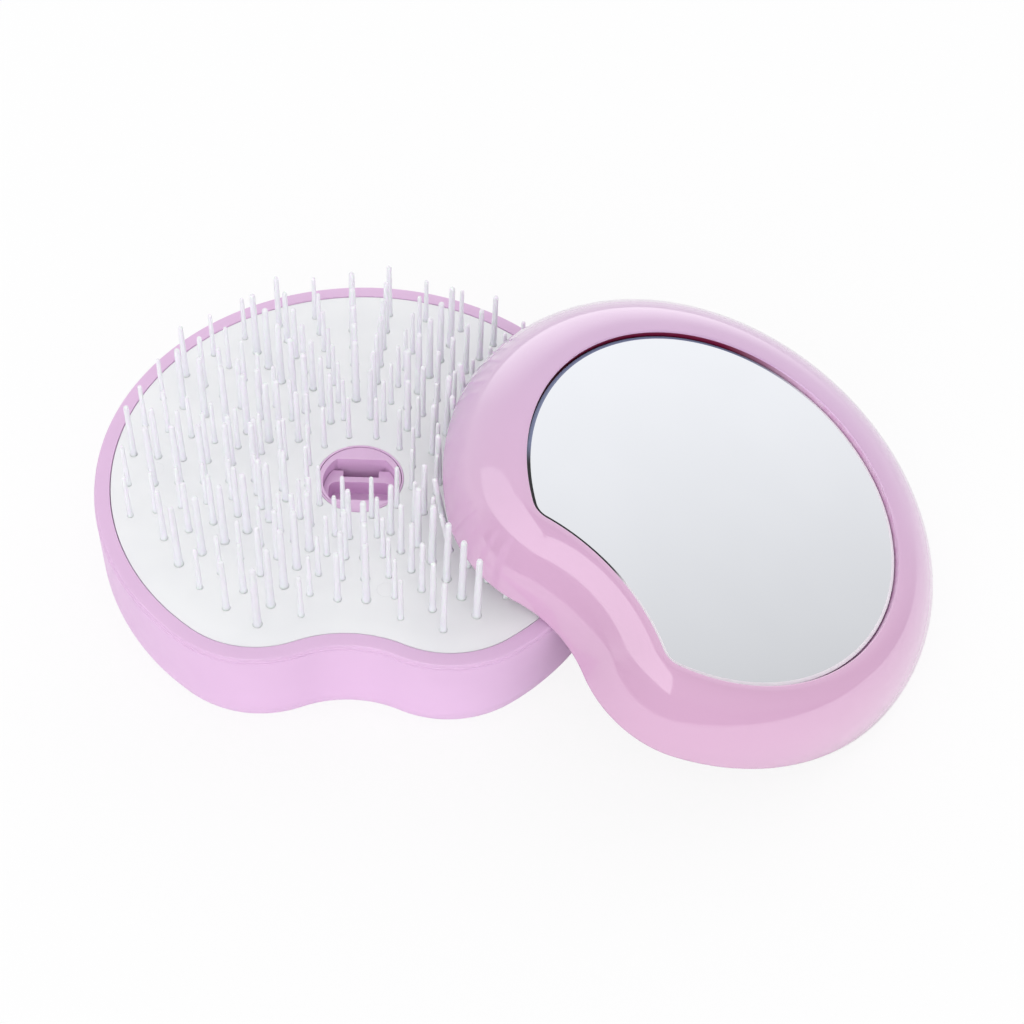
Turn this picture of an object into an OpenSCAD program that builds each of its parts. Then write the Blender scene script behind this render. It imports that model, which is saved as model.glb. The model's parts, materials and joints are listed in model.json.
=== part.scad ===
// Compact hairbrush with a floating bristle bed and a lift-off mirror cover.
// Millimetres, +Z up. The origin is on the resting plane under the catch's centre,
// the thumb notch faces -Y, and the cover leans on the +X side of the brush half.

/* [Outline] */
// Radius of the round side of the outline
head_r = 42.4; // [36:0.1:51]
// How far the round side's centre lies behind the catch
head_y = 1.65; // [0:0.05:3]
// Radius of the two lobes beside the notch
lobe_r = 18.05; // [15:0.05:21]
// Radius of the thumb notch
notch_r = 17.35; // [14.5:0.05:21]
// How far the notch bites into the round outline
notch_depth = 7.8; // [6:0.1:9.5]

/* [Base shell] */
// Height of the base shell, up to the parting line
base_h = 18.3; // [16:0.1:26]
// Radius of the rounding under the base
base_corner = 7.5; // [6:0.1:8.2]
// Wall of the base shell
base_wall = 1.2; // [1:0.05:1.6]
// Floor of the base shell
base_floor = 1.6; // [1.4:0.05:2.2]

/* [Rim frame] */
// Width of the rim seen from above
rim_w = 2.55; // [2.4:0.05:4]
// Height of the rim above the parting line
rim_h = 0.8; // [0.5:0.05:1.2]
// Step in the rim's outer edge
rim_step = 0.3; // [0.1:0.05:0.4]

/* [Bristle bed] */
// How far the bristle plate lies below the rim's top
plate_drop = 0.1; // [0:0.05:0.6]
// Thickness of the bristle plate
plate_t = 1.5; // [1.2:0.1:2]
// Travel of the bristle bed when the cover closes
bed_travel = 3.2; // [1.5:0.1:3.6]
// Space from the hole in the plate to the first ring of bristles
ring_out = 1.6; // [1.4:0.05:2.5]
// Space kept between the last ring of bristles and the plate's edge
ring_margin = 3.1; // [2.6:0.05:4]
// Length of the long bristles
long_l = 13.4; // [11:0.1:14]
// Length of the middle bristles
mid_l = 11.3; // [9:0.1:12]
// Length of the short bristles
short_l = 9.3; // [7:0.1:10]

/* [Catch] */
// Diameter of the hole in the bristle plate
socket_d = 13.95; // [13.4:0.05:17]
// Wall of the thin ring round the catch
hub_lip = 0.26; // [0.2:0.01:0.5]
// Depth of the pocket in the catch column
pocket_depth = 4.7; // [4.4:0.05:5.2]
// Depth of the catch bar below the column's top
bar_drop = 1.9; // [1.6:0.05:2.3]

/* [Cover] */
// Height of the cover above its opening edge
cover_h = 13; // [12:0.1:16]
// Wall of the cover
cover_wall = 1.3; // [1:0.05:1.6]
// How far the cover's edge lies inside the outline
cover_inset = 0.4; // [0:0.05:0.8]
// Width of the band between the cover's round side and the mirror
side_band = 11.16; // [10.5:0.01:13]
// How far the mirror's centre lies forward of the round side's centre
mirror_forward = 4.16; // [0:0.01:6]
// Sideways place of the mirror
mirror_side = 1.15; // [0:0.01:1.5]
// Turn of the mirror in its plane
mirror_turn = -1.95; // [-2.5:0.01:0]
// Width of the band between the cover's notch and the mirror
notch_band = 6.07; // [5.6:0.01:9]
// Radius of the mirror's edge beside the notch
mirror_notch_r = 30.95; // [26:0.05:34]
// Radius of the mirror's two corners
mirror_corner_r = 3.1; // [2.6:0.01:5]
// Thickness of the mirror
mirror_t = 0.9; // [0.8:0.05:1.1]

/* [Where the cover lies] */
// How far the middle of the cover's opening lies beyond the round outline
cover_out = 9.25; // [8:0.05:12]
// How far it lies behind the catch, negative in front
cover_y = -4.8; // [-6:0.1:-3]
// Direction that the cover tilts to, from +X
cover_azimuth = -18.75; // [-22:0.05:-16]
// Turn of the cover about its own axis
cover_turn = -23.5; // [-26:0.05:-20]

/* [Hidden] */
$fn = 64;

// Finishes
shell_pink = [0.87, 0.72, 0.87];
cover_pink = [0.87, 0.70, 0.84];
plate_white = [0.93, 0.93, 0.94];
steel = [0.75, 0.76, 0.78];
glass = [0.86, 0.88, 0.90];

// Clearances
fit_gap = 0.1;       // between pieces of one half that sit in each other
slide_gap = 0.12;    // between the bed and what guides it
pin_gap = 0.02;      // between a screw's shank and its pilot hole
column_gap = 0.12;   // between the column and the thin ring
mirror_gap = 0.3;    // round the mirror
bristle_gap = 0.35;  // between a bristle and the cover

// Screws
shank_r = 0.78;
pilot_r = shank_r + pin_gap;
head_big_r = 1.7;
head_h = 0.9;
post_r = 2.4;

// Heights in the brush half
rim_top = base_h + rim_h;
plate_top = rim_top - plate_drop;
plate_z = plate_top - plate_t;
skirt_in = rim_w - 0.4;            // inside of the rim frame's skirt, from the outline
skirt_out = base_wall + fit_gap;
plate_in = rim_w + slide_gap;
carrier_in = skirt_in + slide_gap;
tab_t = 1.4;
tab_top = base_corner + 3;
carrier_low = tab_top + bed_travel + fit_gap;
carrier_t = 1.2;
carrier_wall = 1.1;
tab_in = 6.4;                      // middle of a screw tab, from the outline
tab_angles = [90, 20, 160, -38, -142];
post_sink = 0.3;                   // how deep the posts start inside the floor
peg_h = 3;
rib_h = 1.4;
rib_t = 1;
frame_screw_l = 5.5;

// Catch
hub_r = socket_d / 2 - 0.05;
hub_in = hub_r - hub_lip;
hub_seat_r = hub_r + 0.7;
column_r = hub_in - column_gap;
column_top = plate_top - 0.1;
hub_top = plate_top;
hub_low = plate_z - carrier_t - 1;
hub_flange_r = hub_seat_r + 0.63;
disc_t = 1.4;
disc_top = base_floor + disc_t;
ear_low = base_floor + 3.6;
ear_angles = [90, 210, 330];
ear_arm = 4;
ear_leg_t = 1.4;
column_screw_l = 4.8;
core_r = 4.6;
core_top = column_top - pocket_depth - 2.6;
pocket_r = 5.9;
pocket_y = -0.45;
pocket_back = 4;
pocket_front = -4.45;
pocket_floor = column_top - pocket_depth;
bar_back = 1.9;
bar_front = 0.8;
bar_top = column_top - bar_drop;
bar_t = 1.4;
wire_r = 0.4;
spring_r = hub_flange_r + 0.25 + wire_r;
spring_turns = 5;
ear_at = spring_r + wire_r + 5;
disc_r = ear_at - 2.9;

// Bristles: radius at the foot and at the tip, and length
ring_count = 8;
ring_y = 0.5;
line_step = 10;
ring_first = socket_d / 2 + ring_out;
ring_step = (head_r - rim_w - ring_margin - ring_first) / (ring_count - 1);
kinds = [[0.45, 0.34, short_l], [0.54, 0.42, mid_l], [0.64, 0.48, long_l]];
edge_keep = 2.75;
lean_step = 1.5;
lean_tries = 40;

// Cover, measured from its opening edge
pad_t = 0.2;
pad_in = 1;
lip_drop = 0.8;
lip_w = 1;
pocket_cover = mirror_t + pad_t + lip_drop;
ceiling_t = 0.8;
ceiling = cover_h - pocket_cover - ceiling_t;
profile_n = 1.54;
profile_q = 1.87;
collar_in = column_r + 0.2;
collar_out = collar_in + 0.7;
collar_low = hub_top - bed_travel - rim_top;
mount_t = 3;
mount_screw_l = 2.4;
toe_h = 0.4;
hook_play = 0.05;
collar_flange_r = collar_out + 4.2;
collar_screw_at = collar_out + 2.1;
hook_low = bar_top - bar_t - rim_top - toe_h - hook_play;
hook_disc_r = collar_in - 0.3;
hook_screw_x = 3.6;

notch_y = head_y - head_r + notch_depth - notch_r;
mirror_y = head_y - mirror_forward;
mirror_notch_y = notch_y + notch_r + cover_inset + notch_band - mirror_notch_r;

// ---- outlines -------------------------------------------------------------
// An outline is [round radius, round centre y, lobe radius, notch radius, notch centre y]
function outer(inset) = [head_r - inset, head_y, lobe_r - inset, notch_r + inset, notch_y];
function cover_outer(inset) = outer(cover_inset + inset);
function mirror_edge(grow) = [
  head_r - cover_inset - side_band + grow, mirror_y,
  mirror_corner_r + grow, mirror_notch_r - grow, mirror_notch_y
];

function lobe_at(o) =
  let (d1 = o[0] - o[2], d2 = o[3] + o[2], dd = o[1] - o[4], a = (d1 * d1 - d2 * d2 + dd * dd) / (2 * dd))
  [sqrt(d1 * d1 - a * a), o[1] - a];
function lobe_from(o) = let (l = lobe_at(o)) atan2(o[4] - l.y, -l.x);
function lobe_to(o) = let (l = lobe_at(o)) atan2(l.y - o[1], l.x);
function arc(c, r, from, to, n) =
  [for (i = [0:n - 1]) let (t = from + (to - from) * i / n) [c.x + r * cos(t), c.y + r * sin(t)]];
function half_outline(o) =
  let (l = lobe_at(o), notch_to = 90 - atan2(l.x, l.y - o[4]))
  concat(
    arc([0, o[4]], o[3], 90, notch_to, 6),
    arc(l, o[2], lobe_from(o), lobe_to(o), 8),
    arc([0, o[1]], o[0], lobe_to(o), 90, 22)
  );
function outline(o) =
  let (h = half_outline(o), n = len(h))
  concat(h, [[0, o[1] + o[0]]], [for (i = [n - 1:-1:1]) [-h[i].x, h[i].y]]);
function placed_mirror(grow) =
  [for (p = outline(mirror_edge(grow))) spin(p, mirror_turn) + [mirror_side, 0]];

// Distance of a point inside an outline, negative outside
function inside(p, o) =
  let (
    x = abs(p.x), l = lobe_at(o), at_lobe = atan2(p.y - l.y, x - l.x),
    in_lobe = at_lobe > lobe_from(o) && at_lobe < lobe_to(o),
    in_notch = atan2(x, p.y - o[4]) < atan2(l.x, l.y - o[4]),
    round_d = o[0] - norm([x, p.y - o[1]]), notch_d = norm([x, p.y - o[4]]) - o[3]
  )
  in_lobe ? o[2] - norm([x - l.x, p.y - l.y]) : in_notch ? min(round_d, notch_d) : round_d;

// ---- turning points -------------------------------------------------------
function spin(p, a) = [p.x * cos(a) - p.y * sin(a), p.x * sin(a) + p.y * cos(a)];
function about_z(p, a) = let (q = spin([p.x, p.y], a)) [q.x, q.y, p.z];
function about_y(p, a) = [p.x * cos(a) + p.z * sin(a), p.y, -p.x * sin(a) + p.z * cos(a)];
function to_cover(p) = about_z(about_y(about_z(p - cover_at, -cover_azimuth), -cover_tilt), -cover_turn);
// Height of the opening's middle, with the lowest point of its edge on the resting plane
low_reach = max([for (p = outline(cover_outer(0))) spin(p, cover_turn).x]);
rest_gap = 0.5;                     // between the cover's edge and the rim it leans on
rest_reach = 0.351 * head_r;        // up the slope from the opening's middle to that place
cover_tilt = asin((rim_top + rest_gap) / (low_reach + rest_reach));
cover_at = [head_r + cover_out, cover_y, low_reach * sin(cover_tilt)];

module place_cover() {
  translate(cover_at) rotate([0, 0, cover_azimuth]) rotate([0, cover_tilt, 0]) rotate([0, 0, cover_turn])
    children();
}

// ---- solids from stacked rings --------------------------------------------
function lift(points, z) = [for (p = points) [p.x, p.y, z]];
function mix(a, b, s) = [for (i = [0:len(a) - 1]) a[i] * (1 - s) + b[i] * s];
module stack(rings) {
  n = len(rings[0]);
  m = len(rings);
  sides = [
    for (j = [0:m - 2]) for (i = [0:n - 1]) for (half = [0, 1])
      let (a = j * n + i, b = j * n + (i + 1) % n)
      half == 0 ? [a, a + n, b] : [b, a + n, b + n]
  ];
  polyhedron(
    points = [for (r = rings) each r],
    faces = concat([[for (i = [0:n - 1]) i]], sides, [[for (i = [n - 1:-1:0]) (m - 1) * n + i]]),
    convexity = 6
  );
}
module slab(o, z0, z1) {
  translate([0, 0, z0]) linear_extrude(z1 - z0) polygon(outline(o));
}
module band(inset_out, inset_in, z0, z1) {
  translate([0, 0, z0]) linear_extrude(z1 - z0) difference() {
    polygon(outline(outer(inset_out)));
    polygon(outline(outer(inset_in)));
  }
}
module ring(r_in, r_out, z0, z1) {
  translate([0, 0, z0]) difference() {
    cylinder(r = r_out, h = z1 - z0);
    translate([0, 0, -1]) cylinder(r = r_in, h = z1 - z0 + 2);
  }
}
module disc(r, z0, z1) {
  translate([0, 0, z0]) cylinder(r = r, h = z1 - z0);
}
// Countersunk screw hanging down from z = 0
module screw(length) {
  difference() {
    union() {
      translate([0, 0, -length]) cylinder(r = shank_r, h = length - head_h / 2);
      translate([0, 0, -head_h]) cylinder(r1 = shank_r, r2 = head_big_r, h = head_h);
    }
    for (a = [0, 90]) rotate([0, 0, a]) translate([-1, -0.15, -0.45]) cube([2, 0.3, 1]);
  }
}
module screw_hole(length) {
  translate([0, 0, -length]) cylinder(r = pilot_r, h = length + 1);
  translate([0, 0, -head_h]) cylinder(r1 = pilot_r, r2 = head_big_r + pin_gap, h = head_h + 0.001);
}
module at_tabs() {
  r = head_r - tab_in;
  for (a = tab_angles) translate([r * cos(a), head_y + r * sin(a), 0]) rotate([0, 0, a]) children();
}
module at_ears() {
  for (a = ear_angles) rotate([0, 0, a]) translate([ear_at, 0, 0]) children();
}

// ---- brush half, fixed pieces ---------------------------------------------
function bowl_ring(inset, corner, low, t) =
  lift(outline(outer(inset + corner * (1 - sin(t)))), low + corner * (1 - cos(t)));
module base_shell() {
  inner_corner = base_corner - base_floor;
  corner_steps = 7;
  color(shell_pink) difference() {
    union() {
      stack(concat(
        [for (k = [0:corner_steps]) bowl_ring(0, base_corner, 0, 90 * k / corner_steps)],
        [lift(outline(outer(0)), base_h), lift(outline(outer(base_wall)), base_h)],
        [for (k = [corner_steps:-1:0]) bowl_ring(base_wall, inner_corner, base_floor, 90 * k / corner_steps)]
      ));
      at_tabs() disc(post_r, base_floor - post_sink, tab_top - tab_t);
      at_ears() disc(post_r, base_floor - post_sink, ear_low);
      disc(core_r - fit_gap, base_floor - post_sink, base_floor + peg_h);
    }
    at_tabs() disc(pilot_r, base_floor + 1.5, base_h);
    at_ears() disc(pilot_r, base_floor, base_h);
  }
}

module rim_frame() {
  color(shell_pink) difference() {
    union() {
      band(rim_step, rim_w, base_h + rim_h / 2, rim_top);
      band(fit_gap, rim_w, base_h, base_h + rim_h / 2);
      band(skirt_out, rim_w, plate_z, base_h);
      band(skirt_out, skirt_in, tab_top - tab_t, plate_z);
      at_tabs() {
        disc(post_r + 0.4, tab_top - tab_t, tab_top);
        translate([0, -post_r, tab_top - tab_t]) cube([tab_in - skirt_in + 0.3, 2 * post_r, tab_t]);
      }
    }
    at_tabs() translate([0, 0, tab_top]) screw_hole(tab_t + 1);
  }
}
module frame_screws() {
  color(steel) at_tabs() translate([0, 0, tab_top]) screw(frame_screw_l);
}

module pocket_shape(gap) {
  intersection() {
    translate([0, pocket_y]) circle(r = pocket_r - gap);
    translate([-pocket_r, pocket_front + gap]) square([2 * pocket_r, pocket_back - pocket_front - 2 * gap]);
  }
}
module catch_column() {
  back_slot = bar_back + 0.1;
  slot_w = 6;
  slot_h = 0.8;
  color(shell_pink) difference() {
    union() {
      disc(column_r, base_floor, column_top);
      disc(disc_r, base_floor, disc_top);
      at_ears() {
        disc(post_r + 0.2, ear_low, ear_low + disc_t);
        translate([-ear_arm, -ear_arm / 2, base_floor])
          cube([ear_leg_t, ear_arm, ear_low + disc_t - base_floor]);
        translate([-ear_arm, -ear_arm / 2, ear_low]) cube([ear_arm, ear_arm, disc_t]);
      }
    }
    translate([0, 0, pocket_floor]) linear_extrude(pocket_depth + 1) pocket_shape(0);
    translate([-slot_w / 2, back_slot, pocket_floor - slot_h])
      cube([slot_w, pocket_back - back_slot - 0.2, slot_h + 1]);
    disc(core_r, base_floor - 1, core_top);
    at_ears() translate([0, 0, ear_low + disc_t]) screw_hole(disc_t + 1);
  }
}
module column_screws() {
  color(steel) at_ears() translate([0, 0, ear_low + disc_t]) screw(column_screw_l);
}
module catch_bar() {
  arm_in = 2.85;
  mouth_in = 5;
  mouth_round = 1.3;
  foot_back = 3.2;
  color(shell_pink) difference() {
    translate([0, 0, pocket_floor]) linear_extrude(bar_top - pocket_floor) difference() {
      intersection() {
        pocket_shape(fit_gap);
        translate([-pocket_r, pocket_front]) square([2 * pocket_r, foot_back - pocket_front]);
      }
      translate([-arm_in, bar_back]) square([2 * arm_in, pocket_back]);
      translate([-mouth_in, pocket_front - 1])
        square([2 * mouth_in, bar_front - mouth_round - pocket_front + 1]);
      for (side = [-1, 1])
        translate([side * (mouth_in - mouth_round), bar_front - mouth_round]) circle(r = mouth_round);
      translate([-mouth_in + mouth_round, bar_front - 2 * mouth_round])
        square([2 * (mouth_in - mouth_round), 2 * mouth_round]);
    }
    translate([-arm_in, bar_front + 0.4, pocket_floor - 1])
      cube([2 * arm_in, 2, bar_top - bar_t - pocket_floor + 1]);
  }
}

function coil_ring(t, z, sides) =
  [for (k = [0:sides - 1]) let (a = 360 * k / sides, r = spring_r + wire_r * cos(a))
    [r * cos(t), r * sin(t), z + wire_r * sin(a)]];
module lift_spring() {
  steps = 22;
  sides = 6;
  z0 = disc_top + wire_r;
  z1 = plate_z - carrier_t - wire_r;
  count = spring_turns * steps;
  color(steel) stack([for (k = [0:count]) coil_ring(-360 * k / steps, z0 + (z1 - z0) * k / count, sides)]);
}

// ---- brush half, floating bed ---------------------------------------------
module bed_carrier() {
  top = plate_z;
  rib_z = top - carrier_t - rib_h;
  seat_r = spring_r + wire_r + 0.4;
  color(shell_pink) difference() {
    union() {
      slab(outer(carrier_in), top - carrier_t, top);
      band(carrier_in, carrier_in + carrier_wall, carrier_low, top);
      ring(seat_r, seat_r + rib_t, rib_z, top);
      for (a = [0:60:300]) intersection() {
        slab(outer(carrier_in + carrier_wall / 2), rib_z, top);
        rotate([0, 0, a]) translate([seat_r + rib_t / 2, -rib_t / 2, rib_z])
          cube([head_r, rib_t, top - rib_z]);
      }
    }
    disc(hub_seat_r + fit_gap, rib_z - 1, top + 1);
  }
}
module hub_ring() {
  color(shell_pink) difference() {
    union() {
      disc(hub_r, hub_low, hub_top);
      disc(hub_seat_r, hub_low, plate_z);
      disc(hub_flange_r, hub_low, plate_z - carrier_t);
    }
    disc(hub_in, hub_low - 1, hub_top + 1);
  }
}
module bristle_plate() {
  color(plate_white) difference() {
    slab(outer(plate_in), plate_z, plate_top);
    disc(socket_d / 2, plate_z - 1, plate_top + 1);
  }
}

// Kind of bristle on line i at ring k: 0 short, 1 middle, 2 long, -1 none
function kind_at(i, k) =
  let (line = (i % 3 + 3) % 3)
  line == 1 ? 0 : line == 0 ? (k >= 1 ? 1 : -1) : k == ring_count - 1 ? 0 : k >= 2 ? 2 : -1;
function bristle_at(i, k) =
  let (a = line_step * (i + 0.5), r = ring_first + ring_step * k)
  [r * sin(a), ring_y + r * cos(a), plate_top];
function feet(kind) = [
  for (i = [-18:17]) for (k = [0:ring_count - 1]) let (p = bristle_at(i, k))
    if (kind_at(i, k) == kind && inside(p, outer(rim_w)) > edge_keep) p
];

// Height of the cover's outer or inner face over a point of the opening plane, 0 outside it
function rise(s) = pow(max(0, 1 - pow(1 - s, profile_q)), 1 / profile_n);
function face_height(q, wall, lip, top) =
  let (
    d = inside(q, cover_outer(wall)),
    e = inside(spin([q.x - mirror_side, q.y], -mirror_turn), mirror_edge(lip))
  )
  d <= 0 ? 0 : e >= 0 ? top : top * rise(d / (d - e));
// 0 outside the cover, 1 in its hollow or under its edge, 2 in its wall
function cover_state(q) =
  q.z < 0 ? 1
    : inside(q, cover_outer(0)) < 0 || q.z > face_height(q, 0, lip_w, cover_h) ? 0
    : q.z < face_height(q, cover_wall, 0, ceiling) ? 1 : 2;
// True where a leaning bristle stays clear of the cover over its whole length
function is_clear(foot, along, lean, kind) =
  let (
    length = kinds[kind][2], r = kinds[kind][0] + bristle_gap, steps = 12,
    up = [along.x * sin(lean), along.y * sin(lean), cos(lean)],
    sides = [[0, 0, 0.4], [0, 0, -0.4], along * r, -along * r, [along.y, -along.x, 0] * r],
    states = [
      for (k = [0:steps]) for (side = sides)
        let (q = to_cover(foot + up * length * k / steps + side)) if (q.z > 0) cover_state(q)
    ]
  )
  len(states) == 0 || max(states) == min(states) && max(states) < 2;
function away(foot) =
  let (
    q = to_cover(foot + [0, 0, short_l / 2]), e = 0.5,
    g = [inside([q.x + e, q.y], cover_outer(0)) - inside([q.x - e, q.y], cover_outer(0)),
         inside([q.x, q.y + e], cover_outer(0)) - inside([q.x, q.y - e], cover_outer(0))],
    w = spin(g / max(norm(g), 0.001), cover_azimuth + cover_turn)
  )
  [w.x, w.y, 0];
// Least lean that keeps a bristle clear of the cover, tried both ways
function lean_of(foot, along, kind, n = 0) =
  let (lean = lean_step * ceil(n / 2) * (n % 2 == 0 ? 1 : -1))
  n > lean_tries || is_clear(foot, along, lean, kind) ? (n > lean_tries ? 0 : lean)
    : lean_of(foot, along, kind, n + 1);

module bristle(r0, r1, length, foot) {
  flare = 1.22;
  rotate_extrude($fn = 24) polygon([
    [0, -foot], [r0 * flare, -foot], [r0 * flare, 0], [r0 * 1.06, 0.25], [r0, 0.7],
    [r1, length - r1], [r1 * 0.8, length - 0.35 * r1], [r1 * 0.4, length - 0.07 * r1], [0, length]
  ]);
}
module bristles(kind) {
  r0 = kinds[kind][0];
  r1 = kinds[kind][1];
  length = kinds[kind][2];
  foot_depth = 0.6;
  for (foot = feet(kind)) {
    along = away(foot);
    lean = lean_of(foot, along, kind);
    if (lean == 0) translate(foot) bristle(r0, r1, length, 0);
    else intersection() {
      translate(foot) rotate(a = lean, v = [-along.y, along.x, 0]) bristle(r0, r1, length, foot_depth);
      translate(foot - [length, length, 0]) cube([2 * length, 2 * length, length + 1]);
    }
  }
}
module bristles_long() { color(plate_white) bristles(2); }
module bristles_mid() { color(plate_white) bristles(1); }
module bristles_short() { color(plate_white) bristles(0); }

// ---- cover half, measured from its opening edge ---------------------------
module cover_shell() {
  steps = 9;
  rim_out = outline(cover_outer(0));
  rim_in = outline(cover_outer(cover_wall));
  lip = placed_mirror(lip_w);
  ceiling_edge = placed_mirror(0);
  seat = placed_mirror(mirror_gap);
  // Rings lie closer together at both ends of the curve
  function share(k) = pow(sin(90 * k / steps), 2);
  color(cover_pink) place_cover() difference() {
    stack(concat(
      [for (k = [steps:-1:0]) lift(mix(rim_in, ceiling_edge, share(k)), ceiling * rise(share(k)))],
      [for (k = [0:steps]) lift(mix(rim_out, lip, share(k)), cover_h * rise(share(k)))],
      [lift(seat, cover_h), lift(seat, cover_h - pocket_cover)]
    ));
    at_cover_screws() screw_hole(ceiling_t + 1);
  }
}
module at_cover_screws() {
  z = ceiling + ceiling_t;
  for (a = ear_angles) rotate([0, 0, a]) translate([collar_screw_at, 0, z]) children();
  for (side = [-1, 1]) translate([side * hook_screw_x, 0, z]) children();
}
module cover_screws() {
  color(steel) place_cover() at_cover_screws() screw(ceiling_t + mount_screw_l);
}
module push_collar() {
  color(cover_pink) place_cover() difference() {
    union() {
      ring(collar_in, collar_out, collar_low, ceiling);
      ring(collar_in, collar_flange_r, ceiling - mount_t, ceiling);
    }
    at_cover_screws() screw_hole(ceiling_t + mount_screw_l + 0.2);
  }
}
module hook_post() {
  hook_w = 4.6;
  hook_y = bar_back + 0.2;
  hook_t = 1.3;
  toe = 0.65;
  guide_y = -3.4;
  guide_w = 7;
  stem_top = ceiling - mount_t + 0.5;
  color(cover_pink) place_cover() difference() {
    union() {
      disc(hook_disc_r, ceiling - mount_t, ceiling);
      translate([-hook_w / 2, hook_y, hook_low]) cube([hook_w, hook_t, stem_top - hook_low]);
      translate([-hook_w / 2, hook_y - toe, hook_low]) cube([hook_w, toe + 0.1, toe_h]);
      translate([-guide_w / 2, guide_y, hook_low]) cube([guide_w, 1.1, stem_top - hook_low]);
    }
    at_cover_screws() screw_hole(ceiling_t + mount_screw_l + 0.2);
  }
}
module mirror_pad() {
  color([0.35, 0.35, 0.37]) place_cover() translate([0, 0, cover_h - pocket_cover]) linear_extrude(pad_t)
    polygon(placed_mirror(-pad_in));
}
module mirror_glass() {
  low = cover_h - lip_drop - mirror_t;
  bevel = 0.25;
  color(glass) place_cover() {
    translate([0, 0, low]) linear_extrude(mirror_t - bevel / 2) polygon(placed_mirror(0));
    translate([0, 0, low + mirror_t - bevel]) linear_extrude(bevel) polygon(placed_mirror(-bevel));
  }
}

base_shell();
rim_frame();
frame_screws();
catch_column();
column_screws();
catch_bar();
lift_spring();
bed_carrier();
hub_ring();
bristle_plate();
bristles_long();
bristles_mid();
bristles_short();
cover_shell();
push_collar();
hook_post();
cover_screws();
mirror_pad();
mirror_glass();
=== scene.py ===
"""Looks of a compact two-part hairbrush: a brush half with a floating bristle bed, and its mirror cover.

Every length is in millimetres until a mesh is made, and MM turns it into metres.
"""

from __future__ import annotations

import json
import logging
import math
from dataclasses import dataclass, field
from enum import Enum

import bmesh
import bpy
from mathutils import Matrix, Vector


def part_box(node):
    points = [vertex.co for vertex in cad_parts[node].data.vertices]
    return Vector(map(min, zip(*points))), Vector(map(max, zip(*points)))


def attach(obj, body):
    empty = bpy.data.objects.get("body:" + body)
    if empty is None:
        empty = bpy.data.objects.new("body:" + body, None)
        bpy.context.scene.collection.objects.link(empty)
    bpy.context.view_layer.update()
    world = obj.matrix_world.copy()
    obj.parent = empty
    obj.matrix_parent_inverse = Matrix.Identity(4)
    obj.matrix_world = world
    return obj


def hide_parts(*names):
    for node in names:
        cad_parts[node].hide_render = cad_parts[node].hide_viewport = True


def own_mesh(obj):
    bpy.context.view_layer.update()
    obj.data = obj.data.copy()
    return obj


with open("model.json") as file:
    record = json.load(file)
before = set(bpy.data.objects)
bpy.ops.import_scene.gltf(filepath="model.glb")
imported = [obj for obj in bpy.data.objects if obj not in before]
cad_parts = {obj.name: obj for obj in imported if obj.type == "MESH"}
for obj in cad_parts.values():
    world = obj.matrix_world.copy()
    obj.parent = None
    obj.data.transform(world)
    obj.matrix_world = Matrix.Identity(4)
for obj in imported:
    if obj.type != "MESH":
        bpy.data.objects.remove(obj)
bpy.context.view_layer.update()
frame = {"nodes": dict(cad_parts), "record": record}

MM = 0.001
CREASE = 30.0
LOG = logging.getLogger("hairbrush")

Point2 = tuple[float, float]
Point3 = tuple[float, float, float]
Rgb = tuple[int, int, int]


def linear(colour: Rgb) -> tuple[float, float, float, float]:
    """Turns a display colour into the linear colour that a shader takes.

    Args:
        colour: Red, green and blue from 0 to 255.

    Returns:
        Linear red, green, blue and alpha.
    """
    parts = [c / 255.0 for c in colour]
    low_or_curve = [c / 12.92 if c <= 0.04045 else ((c + 0.055) / 1.055) ** 2.4 for c in parts]
    return (*low_or_curve, 1.0)


def smooth(data: bpy.types.Mesh, crease: float) -> None:
    """Shades a mesh smooth.

    Args:
        data: The mesh.
        crease: Edges sharper than this many degrees stay sharp.
    """
    data.shade_smooth()
    data.set_sharp_from_angle(angle=math.radians(crease))


class Body(Enum):
    """The rigid bodies of the part."""

    BRUSH = "brush"
    BED = "bed"
    COVER = "cover"


class Slot(Enum):
    """The finishes that the part's record names."""

    SHELL = "shell"
    COVER = "cover"
    PLATE = "plate"
    BRISTLE = "bristle"
    STEEL = "steel"
    PAD = "pad"
    MIRROR = "mirror"


# ---------------------------------------------------------------------------
# Shader building
# ---------------------------------------------------------------------------


class Signal:
    """A number that varies over a surface. Arithmetic on it adds Math nodes."""

    def __init__(self, graph: Graph, socket: bpy.types.NodeSocket) -> None:
        """Keeps the graph and the output socket."""
        self.graph = graph
        self.socket = socket

    def __add__(self, other: Signal | float) -> Signal:
        """Adds another signal or a number."""
        return self.graph.math("ADD", self, other)

    __radd__ = __add__

    def __sub__(self, other: Signal | float) -> Signal:
        """Subtracts another signal or a number."""
        return self.graph.math("SUBTRACT", self, other)

    def __rsub__(self, other: float) -> Signal:
        """Subtracts this signal from a number."""
        return self.graph.math("SUBTRACT", other, self)

    def __mul__(self, other: Signal | float) -> Signal:
        """Multiplies by another signal or a number."""
        return self.graph.math("MULTIPLY", self, other)

    __rmul__ = __mul__

    def least(self, other: Signal | float) -> Signal:
        """Returns the smaller of the two."""
        return self.graph.math("MINIMUM", self, other)

    def most(self, other: Signal | float) -> Signal:
        """Returns the larger of the two."""
        return self.graph.math("MAXIMUM", self, other)

    def ramp(self, low: float, high: float, start: float = 0.0, end: float = 1.0) -> Signal:
        """Maps the signal smoothly from one span to another, clamped at both ends.

        Args:
            low: Value of the signal that gives start.
            high: Value of the signal that gives end.
            start: Result at low.
            end: Result at high.

        Returns:
            The mapped signal.
        """
        node = self.graph.add(
            "ShaderNodeMapRange",
            {"interpolation_type": "SMOOTHSTEP"},
            {"Value": self, "From Min": low, "From Max": high, "To Min": start, "To Max": end},
        )
        return Signal(self.graph, node.outputs["Result"])


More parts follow.
